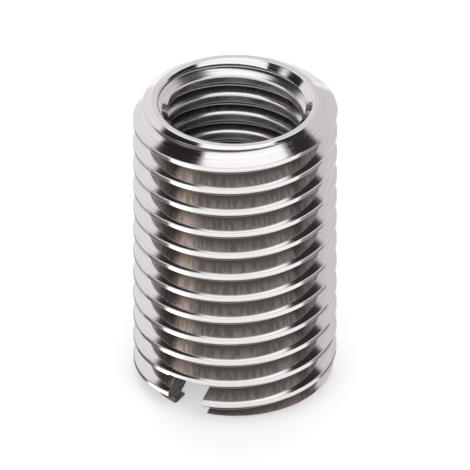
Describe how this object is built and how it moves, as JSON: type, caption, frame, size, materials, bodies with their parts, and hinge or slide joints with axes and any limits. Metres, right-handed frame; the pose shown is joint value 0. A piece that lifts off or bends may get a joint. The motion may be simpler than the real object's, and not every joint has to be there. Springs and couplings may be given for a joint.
{
  "type": "self-tapping threaded insert",
  "caption": "Hollow steel sleeve with a coarse outside thread, an inside thread right through, a countersunk plain end and a slot milled across the other end.",
  "frame": {"origin": "centre of the slotted face, on the axis, where the insert stands", "axes": "+Z along the axis from the slotted end to the plain, countersunk end; the slot runs along Y"},
  "size_m": [0.016, 0.016, 0.025],
  "materials": {
    "polished_stainless": "bright turned and polished stainless steel with fine turning marks along the threads"
  },
  "bodies": {
    "root": {"threaded_insert": "polished_stainless"}
  },
  "joints": []
}
